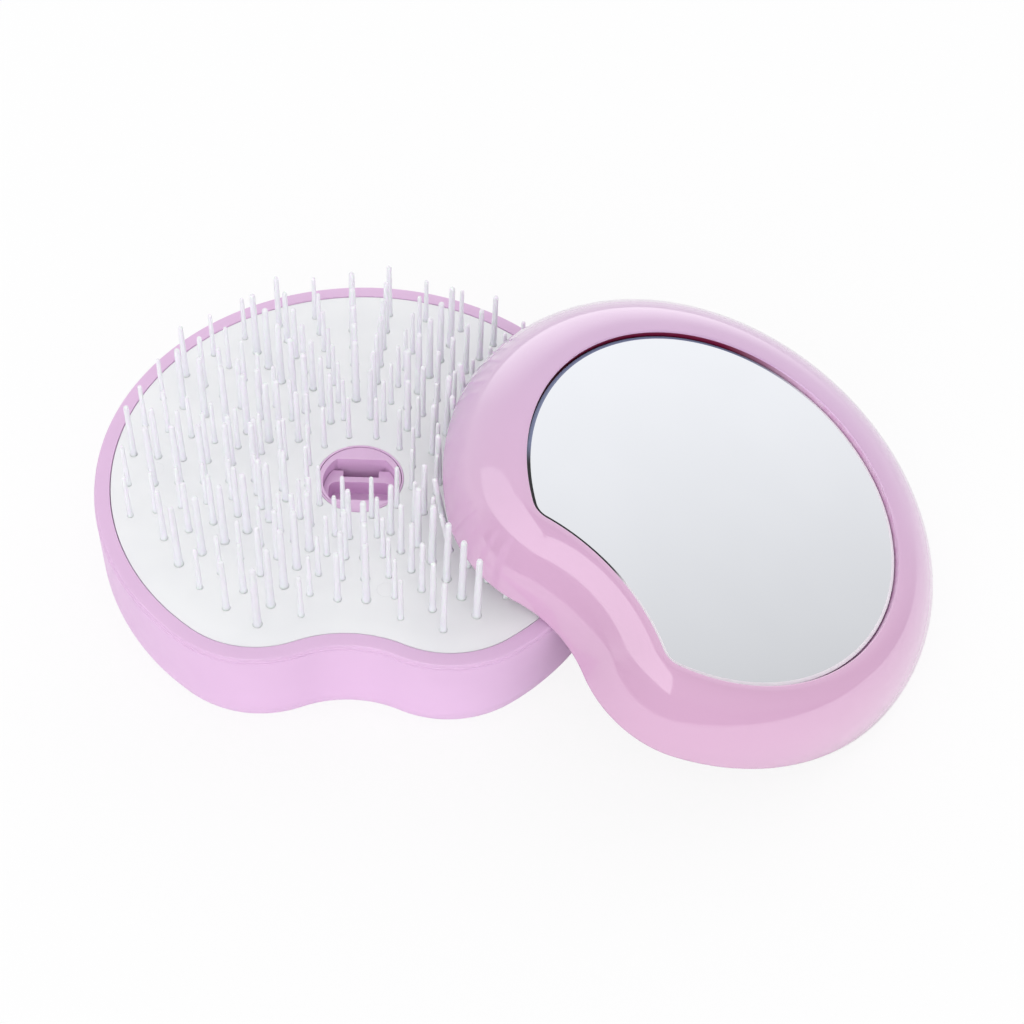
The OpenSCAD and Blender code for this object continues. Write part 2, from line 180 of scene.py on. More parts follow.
class Graph:
    """The node tree of one material or of the world, and the calls that grow it."""

    def __init__(self, tree: bpy.types.NodeTree) -> None:
        """Empties the tree and keeps it."""
        self.tree = tree
        tree.nodes.clear()

    def add(
        self, kind: str, settings: dict[str, object] | None = None, values: dict[str | int, object] | None = None
    ) -> bpy.types.Node:
        """Adds one node.

        Args:
            kind: The node's type name.
            settings: Properties to set first, such as an operation.
            values: Numbers, vectors, signals or sockets for its inputs, by name or place.

        Returns:
            The new node.
        """
        node = self.tree.nodes.new(kind)
        for name, value in (settings or {}).items():
            setattr(node, name, value)
        for name, value in (values or {}).items():
            self.feed(node.inputs[name], value)
        return node

    def feed(self, target: bpy.types.NodeSocket, value: object) -> None:
        """Links a signal or socket to an input, or sets the input's own value."""
        if isinstance(value, Signal):
            self.tree.links.new(value.socket, target)
        elif isinstance(value, bpy.types.NodeSocket):
            self.tree.links.new(value, target)
        else:
            target.default_value = value

    def math(self, operation: str, first: Signal | float, second: Signal | float) -> Signal:
        """Adds one Math node and returns its result."""
        node = self.add("ShaderNodeMath", {"operation": operation}, {0: first, 1: second})
        return Signal(self, node.outputs[0])

    def place(self) -> bpy.types.NodeSocket:
        """Returns the point on the object, in metres."""
        return self.add("ShaderNodeTexCoord").outputs["Object"]

    def split(self, vector: bpy.types.NodeSocket) -> tuple[Signal, Signal, Signal]:
        """Returns a vector's three parts."""
        node = self.add("ShaderNodeSeparateXYZ", None, {"Vector": vector})
        return Signal(self, node.outputs[0]), Signal(self, node.outputs[1]), Signal(self, node.outputs[2])

    def noise(self, size: float, detail: float = 3.0, roughness: float = 0.5) -> Signal:
        """Adds cloudy noise.

        Args:
            size: Size of one blotch in millimetres.
            detail: Octaves of finer noise.
            roughness: Share of the finer octaves.

        Returns:
            A signal about 0.5.
        """
        node = self.add(
            "ShaderNodeTexNoise",
            None,
            {"Vector": self.place(), "Scale": 1.0 / (size * MM), "Detail": detail, "Roughness": roughness},
        )
        return Signal(self, node.outputs["Fac"])

    def distance(self, centre: Point3) -> Signal:
        """Returns the distance from a fixed point, in metres."""
        node = self.add("ShaderNodeVectorMath", {"operation": "DISTANCE"}, {0: self.place(), 1: centre})
        return Signal(self, node.outputs["Value"])

    def toward(self, direction: bpy.types.NodeSocket, side: Point3) -> Signal:
        """Returns how far a direction points to one side, from -1 to 1."""
        node = self.add("ShaderNodeVectorMath", {"operation": "DOT_PRODUCT"}, {0: direction, 1: side})
        return Signal(self, node.outputs["Value"])

    def blend(
        self, share: Signal, first: Rgb | bpy.types.NodeSocket, second: Rgb | bpy.types.NodeSocket
    ) -> bpy.types.NodeSocket:
        """Mixes two display colours, or colours made before, by a signal from 0 to 1."""
        tones = [linear(tone) if isinstance(tone, tuple) else tone for tone in (first, second)]
        node = self.add(
            "ShaderNodeMix",
            {"data_type": "RGBA", "clamp_factor": True},
            {0: share, 6: tones[0], 7: tones[1]},
        )
        return node.outputs[2]

    def bump(self, height: Signal, depth: float, strength: float = 1.0) -> bpy.types.NodeSocket:
        """Turns a height signal into a bumped normal; depth is in millimetres."""
        node = self.add("ShaderNodeBump", None, {"Height": height, "Distance": depth * MM, "Strength": strength})
        return node.outputs["Normal"]


class Paint(Graph):
    """A material with one Principled shader."""

    def __init__(self, name: str) -> None:
        """Makes the material, its shader and its output."""
        self.material = bpy.data.materials.new(name)
        self.material.use_nodes = True
        super().__init__(self.material.node_tree)
        self.shader = self.add("ShaderNodeBsdfPrincipled")
        self.output = self.add("ShaderNodeOutputMaterial")
        self.show(self.shader)

    def show(self, node: bpy.types.Node) -> None:
        """Makes a shader node the one that the surface shows."""
        self.feed(self.output.inputs["Surface"], node.outputs[0])

    def set(self, values: dict[str, object]) -> None:
        """Sets or links the shader's inputs."""
        for name, value in values.items():
            self.feed(self.shader.inputs[name], value)


# ---------------------------------------------------------------------------
# Finishes
# ---------------------------------------------------------------------------


@dataclass(frozen=True)
class MouldedPlastic:
    """Injection-moulded plastic with a slight drift of colour and a fine skin.

    Attributes:
        name: Name of the material.
        light: The lighter of its two near tones.
        dark: The darker of them.
        gloss: Roughness of the skin.
        skin_size: Size of the skin's grain, in millimetres.
        skin_depth: Depth of that grain, in millimetres.
        wave_size: Size of the slow waves of the skin, in millimetres.
        wave_depth: Depth of those waves, in millimetres.
        glow: Share of light scattered under the skin.
        skin: Weight of the clear polished skin.
    """

    name: str
    light: Rgb
    dark: Rgb
    gloss: float
    skin_size: float = 0.35
    skin_depth: float = 0.0005
    wave_size: float = 14.0
    wave_depth: float = 0.004
    glow: float = 0.0
    skin: float = 0.0

    def drift(self, paint: Paint) -> Signal:
        """Returns the slow drift between the two tones."""
        return paint.noise(self.wave_size, 2.0).ramp(0.3, 0.7)

    def paint(self) -> Paint:
        """Builds the shader, on which a finish of its own may add more."""
        paint = Paint(self.name)
        drift = self.drift(paint)
        rough = paint.noise(3.0, 4.0).ramp(0.3, 0.7, self.gloss * 0.85, self.gloss * 1.15)
        height = paint.noise(self.skin_size) * self.skin_depth + paint.noise(self.wave_size, 1.0) * self.wave_depth
        paint.set(
            {
                "Base Color": paint.blend(drift, self.dark, self.light),
                "Roughness": rough,
                "Normal": paint.bump(height, 1.0),
                "IOR": 1.5,
                "Coat Weight": self.skin,
                "Coat Roughness": 0.03,
                "Coat IOR": 1.6,
                "Subsurface Weight": self.glow,
                "Subsurface Radius": (1.0, 0.8, 1.0),
                "Subsurface Scale": 1.0 * MM,
            }
        )
        return paint

    def material(self) -> bpy.types.Material:
        """Returns the finished material."""
        return self.paint().material


@dataclass(frozen=True)
class GlossPlastic(MouldedPlastic):
    """Polished plastic whose tone drifts from back to front, into a painted warm light on the front.

    Attributes:
        front: Its tone at the front, painted warm light.
        back_y: Where the painted warm light starts, in millimetres.
        front_y: Where it is full.
    """

    front: Rgb = (219, 174, 207)
    back_y: float = 20.0
    front_y: float = -42.0

    def material(self) -> bpy.types.Material:
        """Returns the cover's material."""
        paint = self.paint()
        # Painted warm light: towards the front the base colour turns to the warmer front tone.
        painted_warm_light = paint.split(paint.place())[1].ramp(self.front_y * MM, self.back_y * MM)
        tone = paint.blend(self.drift(paint), self.dark, self.light)
        paint.set({"Base Color": paint.blend(painted_warm_light, self.front, tone)})
        return paint.material


@dataclass(frozen=True)
class PlatePlastic(MouldedPlastic):
    """White plastic of the bristle plate, with the faint round marks that its mould's ejector pins leave.

    Attributes:
        marks: Centres of the marks in millimetres.
        mark_r: Radius of a mark in millimetres.
    """

    marks: tuple[Point3, ...] = ()
    mark_r: float = 1.3

    def material(self) -> bpy.types.Material:
        """Returns the plate's material."""
        paint = self.paint()
        nearest: Signal | None = None
        for mark in self.marks:
            away = paint.distance((mark[0] * MM, mark[1] * MM, mark[2] * MM))
            nearest = away if nearest is None else nearest.least(away)
        if nearest is None:
            return paint.material
        edge = nearest.ramp((self.mark_r - 0.12) * MM, self.mark_r * MM)
        groove = edge * (1.0 - nearest.ramp(self.mark_r * MM, (self.mark_r + 0.12) * MM))
        shade = self.drift(paint) * (1.0 - groove * 0.8)
        skin = paint.noise(self.skin_size) * self.skin_depth
        paint.set(
            {
                "Base Color": paint.blend(shade, self.dark, self.light),
                "Normal": paint.bump(skin - groove * 0.02, 1.0),
            }
        )
        return paint.material


@dataclass(frozen=True)
class Nylon(MouldedPlastic):
    """Soft white nylon of the bristles, with painted shade that makes it a little greyer at the foot.

    Attributes:
        painted_shade_foot_z: Height of the bristles' feet, where the painted shade is full, in millimetres.
        reach: Height over which the painted shade fades, in millimetres.
        clear: Share of the light that passes through, so that its shadows are faint.
    """

    painted_shade_foot_z: float = 19.0
    reach: float = 5.0
    clear: float = 0.9

    def material(self) -> bpy.types.Material:
        """Returns the bristles' material."""
        paint = self.paint()
        height = paint.split(paint.place())[2]
        # Painted shade: the darker tone at the bristles' feet stands in for the shade among them; a little random
        # speckle mixes in.
        share = height.ramp(self.painted_shade_foot_z * MM, (self.painted_shade_foot_z + self.reach) * MM)
        speckle = paint.noise(1.2, 3.0).ramp(0.3, 0.7)
        paint.set({"Base Color": paint.blend(share * 0.85 + speckle * 0.15, self.dark, self.light)})
        path = paint.add("ShaderNodeLightPath")
        shadow, bounce = (Signal(paint, path.outputs[name]) for name in ("Is Shadow Ray", "Is Diffuse Ray"))
        passed = shadow.most(bounce) * self.clear
        clear = paint.add("ShaderNodeBsdfTransparent")
        ends = {0: passed, 1: paint.shader.outputs[0], 2: clear.outputs[0]}
        paint.show(paint.add("ShaderNodeMixShader", None, ends))
        return paint.material


@dataclass(frozen=True)
class PlainSteel:
    """Bright steel of the screws and the spring, with fine drawn lines."""

    name: str
    light: Rgb = (200, 203, 208)
    dark: Rgb = (168, 171, 176)
    roughness: float = 0.28

    def material(self) -> bpy.types.Material:
        """Returns the metal's material."""
        paint = Paint(self.name)
        streak = paint.noise(0.15, 2.0).ramp(0.35, 0.65)
        stain = paint.noise(2.5, 3.0).ramp(0.35, 0.65)
        paint.set(
            {
                "Base Color": paint.blend(stain, self.dark, self.light),
                "Metallic": 1.0,
                "Roughness": streak * 0.1 + self.roughness,
                "Normal": paint.bump(streak, 0.003),
            }
        )
        return paint.material


@dataclass(frozen=True)
class Foam:
    """Dark double-sided foam under the mirror."""

    name: str
    light: Rgb = (62, 60, 64)
    dark: Rgb = (38, 37, 40)

    def material(self) -> bpy.types.Material:
        """Returns the foam's material."""
        paint = Paint(self.name)
        cells = paint.noise(0.4, 4.0, 0.7)
        paint.set(
            {
                "Base Color": paint.blend(cells.ramp(0.3, 0.7), self.dark, self.light),
                "Roughness": cells.ramp(0.2, 0.8, 0.8, 0.95),
                "Normal": paint.bump(cells, 0.05),
            }
        )
        return paint.material


@dataclass(frozen=True)
class Silvering:
    """Silvered glass seen from the front."""

    name: str
    light: Rgb = (242, 244, 249)
    dark: Rgb = (240, 242, 247)

    def material(self) -> bpy.types.Material:
        """Returns the mirror's material."""
        paint = Paint(self.name)
        haze = paint.noise(20.0, 2.0).ramp(0.3, 0.7)
        dust = paint.noise(0.8, 4.0).ramp(0.55, 0.8)
        paint.set(
            {
                "Base Color": paint.blend(haze, self.dark, self.light),
                "Metallic": 1.0,
                "Roughness": dust * 0.015 + 0.02,
            }
        )
        return paint.material


@dataclass(frozen=True)
class PaintedLightSpot:
    """A place near which an edge gets a painted tone: a painted shadow on the recess wall, a painted reflection on
    the mirror's bevel.

    Attributes:
        centre: Where it lies, in millimetres.
        near: Distance up to which the painted tone is full, in millimetres.
        far: Distance at which it is gone.
        tone: The painted tone.
    """

    centre: Point3
    near: float
    far: float
    tone: Rgb


@dataclass(frozen=True)
class PaintedLightEdge:
    """Narrow edge round the mirror, with painted shadow and painted reflections near fixed spots and a little random
    tone.

    Attributes:
        name: Name of the material.
        tone: Its tone away from the spots; on the mirror's bevel this is a painted bright reflection.
        roughness: Roughness of the edge.
        spots: Places with a painted shadow or a painted reflection.
    """

    name: str
    tone: Rgb
    roughness: float
    spots: tuple[PaintedLightSpot, ...] = ()

    def material(self) -> bpy.types.Material:
        """Returns the edge's material."""
        paint = Paint(self.name)
        wear = paint.noise(1.5, 3.0).ramp(0.3, 0.7)
        colour = paint.blend(wear * 0.25, self.tone, (235, 225, 235))
        # Painted light and shade: near each spot the colour turns to the spot's painted tone.
        for spot in self.spots:
            away = paint.distance((spot.centre[0] * MM, spot.centre[1] * MM, spot.centre[2] * MM))
            colour = paint.blend(away.ramp(spot.near * MM, spot.far * MM, 1.0, 0.0), colour, spot.tone)
        paint.set({"Base Color": colour, "Roughness": wear * 0.1 + self.roughness})
        return paint.material


# ---------------------------------------------------------------------------
# Outlines and meshes
# ---------------------------------------------------------------------------


@dataclass(frozen=True)
class Outline:
    """The pebble outline: a round side, two lobes and a thumb notch, joined tangentially.

    Attributes:
        round_r: Radius of the round side.
        round_y: Its centre.
        lobe_r: Radius of the lobes.
        notch_r: Radius of the notch.
        notch_y: Its centre.
    """

    round_r: float
    round_y: float
    lobe_r: float
    notch_r: float
    notch_y: float

    def inset(self, by: float) -> Outline:
        """Returns the outline moved inwards by a distance."""
        return Outline(self.round_r - by, self.round_y, self.lobe_r - by, self.notch_r + by, self.notch_y)

    def lobe_centre(self) -> Point2:
        """Returns the centre of the right lobe."""
        near, far, apart = self.round_r - self.lobe_r, self.notch_r + self.lobe_r, self.round_y - self.notch_y
        down = (near**2 - far**2 + apart**2) / (2 * apart)
        return math.sqrt(near**2 - down**2), self.round_y - down

    def points(self, density: int = 4) -> list[Point2]:
        """Walks round the outline, counter-clockwise from the notch.

        Args:
            density: Points for each of the 36 even steps of a half.

        Returns:
            The points, closed without repeating the first.
        """
        lobe_x, lobe_y = self.lobe_centre()
        notch_to = math.atan2(lobe_x, lobe_y - self.notch_y)
        lobe_from = math.atan2(self.notch_y - lobe_y, -lobe_x)
        lobe_to = math.atan2(lobe_y - self.round_y, lobe_x)
        half: list[Point2] = []
        for steps, centre, r, start, end in (
            (6, (0.0, self.notch_y), self.notch_r, math.pi / 2, math.pi / 2 - notch_to),
            (8, (lobe_x, lobe_y), self.lobe_r, lobe_from, lobe_to),
            (22, (0.0, self.round_y), self.round_r, lobe_to, math.pi / 2),
        ):
            for k in range(steps * density):
                t = start + (end - start) * k / (steps * density)
                half.append((centre[0] + r * math.cos(t), centre[1] + r * math.sin(t)))
        top = (0.0, self.round_y + self.round_r)
        return [*half, top, *[(-x, y) for x, y in reversed(half[1:])]]


def between(first: list[Point2], second: list[Point2], share: float) -> list[Point2]:
    """Returns the outline that lies a share of the way from one outline to another."""
    return [
        (a[0] * (1 - share) + b[0] * share, a[1] * (1 - share) + b[1] * share)
        for a, b in zip(first, second, strict=True)
    ]


class Mesh:
    """A mesh that grows in millimetres and becomes a piece in metres."""

    def __init__(self) -> None:
        """Starts empty, with faces of the first finish."""
        self.shape = bmesh.new()
        self.finish = 0

    def ring(self, points: list[Point2], z: float) -> list[bmesh.types.BMVert]:
        """Adds a ring of points at one height and returns its vertices."""
        return [self.shape.verts.new((x, y, z)) for x, y in points]

    def loft(self, rings: list[list[bmesh.types.BMVert]], closed: bool = False) -> None:
        """Joins rings in turn by four-sided faces.

        Args:
            rings: Rings with equally many vertices.
            closed: True where the last ring joins the first.
        """
        pairs = list(zip(rings, rings[1:] + rings[:1], strict=True))
        for low, high in pairs if closed else pairs[:-1]:
            n = len(low)
            for k in range(n):
                m = (k + 1) % n
                self.shape.faces.new((low[k], low[m], high[m], high[k])).material_index = self.finish

    def cap(self, ring: list[bmesh.types.BMVert], centre: Point3, rows: int = 6) -> None:
        """Closes a ring by rows that shrink to a centre point, so that the face stays even.

        Args:
            ring: The ring to close.
            centre: The middle, in millimetres.
            rows: How many rows of faces.
        """
        middle = Vector(centre)
        rings = [ring]
        for row in range(1, rows):
            share = row / rows
            rings.append([self.shape.verts.new(v.co.lerp(middle, share)) for v in ring])
        self.loft(rings)
        tip = self.shape.verts.new(middle)
        last = rings[-1]
        for k in range(len(last)):
            self.shape.faces.new((last[k], last[(k + 1) % len(last)], tip)).material_index = self.finish

    def piece(self, name: str, place: Matrix | None = None, crease: float = 40.0) -> bpy.types.Object:
        """Turns the mesh into an object with smooth shading.

        Args:
            name: Name of the piece.
            place: Where it lies, in millimetres, or None.
            crease: Edges sharper than this many degrees stay sharp.

        Returns:
            The object, linked to the scene.
        """
        bmesh.ops.recalc_face_normals(self.shape, faces=self.shape.faces)
        if place is not None:
            bmesh.ops.transform(self.shape, matrix=place, verts=self.shape.verts)
        bmesh.ops.scale(self.shape, vec=(MM, MM, MM), verts=self.shape.verts)
        data = bpy.data.meshes.new(name)
        self.shape.to_mesh(data)
        self.shape.free()
        smooth(data, crease)
        thing = bpy.data.objects.new(name, data)
        bpy.context.scene.collection.objects.link(thing)
        return thing


def rounded(start: Point2, corner: Point2, end: Point2, radius: float, steps: int = 5) -> list[Point2]:
    """Rounds one corner of a profile.

    Args:
        start: Profile point before the corner.
        corner: The corner.
        end: Profile point after it.
        radius: How far from the corner the rounding starts.
        steps: How many points it takes.

    Returns:
        Points of the rounding, on a smooth curve.
    """
    at = Vector(corner)
    a = at + (Vector(start) - at).normalized() * radius
    b = at + (Vector(end) - at).normalized() * radius
    curve = []
    for k in range(steps + 1):
        t = k / steps
        p = a * (1 - t) ** 2 + at * 2 * t * (1 - t) + b * t**2
        curve.append((p.x, p.y))
    return curve


# ---------------------------------------------------------------------------
# The object
# ---------------------------------------------------------------------------


@dataclass(frozen=True)
class Sizes:
    """Sizes that both halves share, in millimetres."""

    head_r: float = 42.4
    head_y: float = 1.65
    lobe_r: float = 18.05
    notch_r: float = 17.35
    notch_depth: float = 7.8
    base_h: float = 18.3
    rim_h: float = 0.8
    rim_w: float = 2.55
    plate_drop: float = 0.1
    tab_top: float = 10.5
    tab_t: float = 1.4
    tab_in: float = 6.4
    tab_angles: tuple[float, ...] = (90.0, 20.0, 160.0, -38.0, -142.0)

    @property
    def rim_top(self) -> float:
        """Height of the rim's top."""
        return self.base_h + self.rim_h

    @property
    def plate_top(self) -> float:
        """Height of the bristle plate's top."""
        return self.rim_top - self.plate_drop

    def outer(self, inset: float = 0.0) -> Outline:
        """Returns the outer outline, moved inwards."""
        notch_y = self.head_y - self.head_r + self.notch_depth - self.notch_r
        return Outline(self.head_r, self.head_y, self.lobe_r, self.notch_r, notch_y).inset(inset)


@dataclass
class SubAssembly:
    """A group of pieces that are built, dressed and reported together."""

    sizes: Sizes = field(default_factory=Sizes)

    def dress(self, node: str, material: bpy.types.Material, crease: float = CREASE) -> None:
        """Gives a solid of the frame its material and smooth shading.

        Args:
            node: Name of the solid.
            material: Its finish.
            crease: Edges sharper than this many degrees stay sharp.
        """
        data = frame["nodes"][node].data
        data.materials.clear()
        data.materials.append(material)
        smooth(data, crease)
        LOG.info("dressed %s", node)

    def settle(
        self, thing: bpy.types.Object, body: Body, slot: Slot, nodes: tuple[str, ...], *materials: bpy.types.Material
    ) -> None:
        """Finishes a new piece and puts it in its place.

        Args:
            thing: The new piece.
            body: The body it moves with.
            slot: The finish that the record names for it; not used.
            nodes: The solids that it stands for.
            *materials: Its finishes here, the main one first.
        """
        for material in materials:
            thing.data.materials.append(material)
        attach(thing, body.value)
        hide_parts(*nodes)
        LOG.info("built %s", thing.name)


@dataclass
class BrushHalf(SubAssembly):
    """The bowl, its rim and everything fixed in it.

    Attributes:
        wall: Wall of the bowl.
        floor: Floor of the bowl.
        corner: Rounding under the bowl.
        edge: Rounding of small edges.
        step: Step in the rim's outer edge.
        skirt_out: Outside of that skirt, from the outline.
        skirt_in: Its inside.
        ledge: How far the rim's ledge lies under the plate's top.
        post_r: Radius of a screw post.
        post_sink: How deep a post starts inside the floor.
        post_edge: Rounding of its top.
        pilot: Radius of its hole, and the height of the hole's end.
        inner: How far out the inner posts stand, and their top.
        peg: Radius and top of the centring peg.
    """

    wall: float = 1.2
    floor: float = 1.6
    corner: float = 7.5
    edge: float = 0.22
    step: float = 0.3
    skirt_out: float = 1.3
    skirt_in: float = 2.15
    ledge: float = 1.5
    post_r: float = 2.4
    post_sink: float = 0.3
    post_edge: float = 0.15
    pilot: Point2 = (0.8, 3.2)
    inner: Point2 = (14.3, 5.2)
    peg: Point2 = (4.5, 4.6)

    def bowl(self) -> bpy.types.Object:
        """Builds the bowl as one loft, from its underside over the wall to its floor."""
        mesh = Mesh()
        steps = 14
        profile: list[Point2] = []
        for k in range(steps + 1):
            t = math.pi / 2 * k / steps
            profile.append((self.corner * (1 - math.sin(t)), self.corner * (1 - math.cos(t))))
        top = self.sizes.base_h
        profile += rounded((0, 0), (0, top), (1, top), self.edge)
        profile += rounded((0, top), (self.wall, top), (self.wall, 0), self.edge)
        inner = self.corner - self.floor
        for k in range(steps, -1, -1):
            t = math.pi / 2 * k / steps
            profile.append((self.wall + inner * (1 - math.sin(t)), self.floor + inner * (1 - math.cos(t))))
        rings = [mesh.ring(self.sizes.outer(inset).points(), z) for inset, z in profile]
        mesh.loft(rings)
        mesh.cap(rings[0], (0, 0, 0))
        mesh.cap(rings[-1], (0, 0, self.floor))
        self.posts(mesh)
        return mesh.piece("bowl")

    def posts(self, mesh: Mesh) -> None:
        """Adds the screw posts and the peg that stand on the bowl's floor."""
        s = self.sizes
        spots = [(s.head_r - s.tab_in, a, s.head_y, self.post_r, s.tab_top - s.tab_t) for a in s.tab_angles]
        spots += [(self.inner[0], a, 0.0, self.post_r, self.inner[1]) for a in (90, 210, 330)]
        spots.append((0.0, 0, 0.0, *self.peg))
        for at, angle, shift, r, top in spots:
            x = at * math.cos(math.radians(angle))
            y = shift + at * math.sin(math.radians(angle))
            turns = [math.tau * k / 32 for k in range(32)]
            edge = self.post_edge
            rows = [(r, self.floor - self.post_sink), (r, top - edge), (r - edge, top)]
            rows += [(self.pilot[0], top), self.pilot]
            if at == 0.0:
                rows = rows[:3]
            rings = [mesh.ring([(x + w * math.cos(t), y + w * math.sin(t)) for t in turns], z) for w, z in rows]
            mesh.loft(rings)
            mesh.cap(rings[0], (x, y, rows[0][1]), 1)
            mesh.cap(rings[-1], (x, y, rows[-1][1]), 1)

    def rim(self) -> bpy.types.Object:
        """Builds the rim and its skirt as one closed loft with rounded edges."""
        mesh = Mesh()
        s = self.sizes
        low, mid, top = s.base_h, s.base_h + s.rim_h / 2, s.rim_top
        ledge, foot = s.plate_top - self.ledge, s.tab_top - s.tab_t
        profile: list[Point2] = [(self.skirt_out, foot), (self.skirt_out, low)]
        profile += rounded((self.skirt_out, low), (0.1, low), (0.1, mid), 0.08, 3)
        profile += rounded((0.1, low), (0.1, mid), (self.step, mid), 0.12, 4)
        profile += rounded((self.step, mid), (self.step, top), (s.rim_w, top), 0.26, 6)
        profile += rounded((self.step, top), (s.rim_w, top), (s.rim_w, low), 0.12, 4)
        profile += [(s.rim_w, ledge), (self.skirt_in, ledge), (self.skirt_in, foot)]
        mesh.loft([mesh.ring(s.outer(inset).points(), z) for inset, z in profile], closed=True)
        self.tabs(mesh)
        return mesh.piece("rim")

    def tabs(self, mesh: Mesh) -> None:
        """Adds the screw tabs under the rim's skirt."""
        s = self.sizes
        levels = (s.tab_top - s.tab_t, s.tab_top)
        reach = s.head_r - s.tab_in
        for angle in s.tab_angles:
            turn = Matrix.Translation((0, s.head_y, 0)) @ Matrix.Rotation(math.radians(angle), 4, "Z")
            side = [(reach + 2.8 * math.cos(t), 2.8 * math.sin(t)) for t in
                    [math.radians(60 + 240 * k / 20) for k in range(21)]]
            plan = [(reach + 4.4, -2.4), (reach + 4.4, 2.4), *side]
            rings = [mesh.ring(plan, z) for z in levels]
            for ring in rings:
                for v in ring:
                    v.co = turn @ v.co
            mesh.loft(rings)
            for ring, z in zip(rings, levels, strict=True):
                mesh.cap(ring, tuple(turn @ Vector((reach, 0, z))), 1)

    def spring(self, node: str, joint: str, steel: bpy.types.Material) -> None:
        """Builds the spring as a piece of its own.

        Args:
            node: Name of the spring's solid.
            joint: Name of the joint that the bed sinks on.
            steel: Its finish.
        """
        data = frame["nodes"][node].data.copy()
        data.materials.clear()
        smooth(data, CREASE)
        thing = bpy.data.objects.new(f"{node}_coil", data)
        bpy.context.scene.collection.objects.link(thing)
        self.settle(thing, Body.BRUSH, Slot.STEEL, (node,), steel)
        motion = next(j for j in frame["record"]["behaviour"]["joints"] if j["name"] == joint)
        foot = motion["deforming_nodes"][0]["fixed_end_z_m"]
        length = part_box(node)[1].z - foot
        travel = abs(motion["range_m"][0])
        1.0 - travel / length
        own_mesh(thing)

    def build(self, shell: bpy.types.Material, steel: bpy.types.Material) -> None:
        """Builds and dresses the half's fixed pieces.

        Args:
            shell: The lilac plastic.
            steel: The metal of screws and spring.
        """
        self.settle(self.bowl(), Body.BRUSH, Slot.SHELL, ("base_shell",), shell)
        self.settle(self.rim(), Body.BRUSH, Slot.SHELL, ("rim_frame",), shell)
        for node in ("catch_column", "catch_bar"):
            self.dress(node, shell)
        for node in ("frame_screws", "column_screws"):
            self.dress(node, steel)
        self.spring("lift_spring", "bed_sink", steel)


@dataclass
class BristleBed(SubAssembly):
    """The floating plate with its bristles, carrier and ring.

    Attributes:
        plate_gap: Running gap between plate and rim.
        plate_t: Thickness of the plate.
        hole_r: Radius of its hole.
        bevel: Rounding of its outer edge.
        hole_edge: Bevel of its hole.
    """

    plate_gap: float = 0.12
    plate_t: float = 1.5
    hole_r: float = 6.975
    bevel: float = 0.12
    hole_edge: float = 0.1

    def plate(self) -> bpy.types.Object:
        """Builds the plate with softly rounded edges and its round hole."""
        mesh = Mesh()
        s = self.sizes
        inset = s.rim_w + self.plate_gap
        top, low = s.plate_top, s.plate_top - self.plate_t
        edge = s.outer(inset)
        outer = edge.points()
        turns = [math.atan2(y, x) for x, y in outer]
        hole = [(self.hole_r * math.cos(t), self.hole_r * math.sin(t)) for t in turns]
        bevel = self.bevel
        rings = [mesh.ring(outer, low), mesh.ring(outer, top - bevel)]
        for k in range(1, 4):
            t = math.pi / 2 * k / 3
            inward = edge.inset(bevel * (1 - math.cos(t))).points()
            rings.append(mesh.ring(inward, top - bevel * (1 - math.sin(t))))
        border = edge.inset(bevel).points()
        for k in range(1, 8):
            rings.append(mesh.ring(between(border, hole, k / 8 * 0.98), top))
        wider = 1 + self.hole_edge / self.hole_r
        widened = [(x * wider, y * wider) for x, y in hole]
        rings += [mesh.ring(widened, top), mesh.ring(hole, top - self.hole_edge), mesh.ring(hole, low)]
        mesh.loft(rings, closed=True)
        return mesh.piece("bristle_plate_top")

    def build(
        self, shell: bpy.types.Material, white: bpy.types.Material, nylon: bpy.types.Material
    ) -> None:
        """Builds and dresses the bed's pieces.

        Args:
            shell: The lilac plastic.
            white: The plate's plastic.
            nylon: The bristles' plastic.
        """
        self.settle(self.plate(), Body.BED, Slot.PLATE, ("bristle_plate",), white)
        for node in ("bristles_long", "bristles_mid", "bristles_short"):
            self.dress(node, nylon, 50.0)
        for node in ("bed_carrier", "hub_ring"):
            self.dress(node, shell)


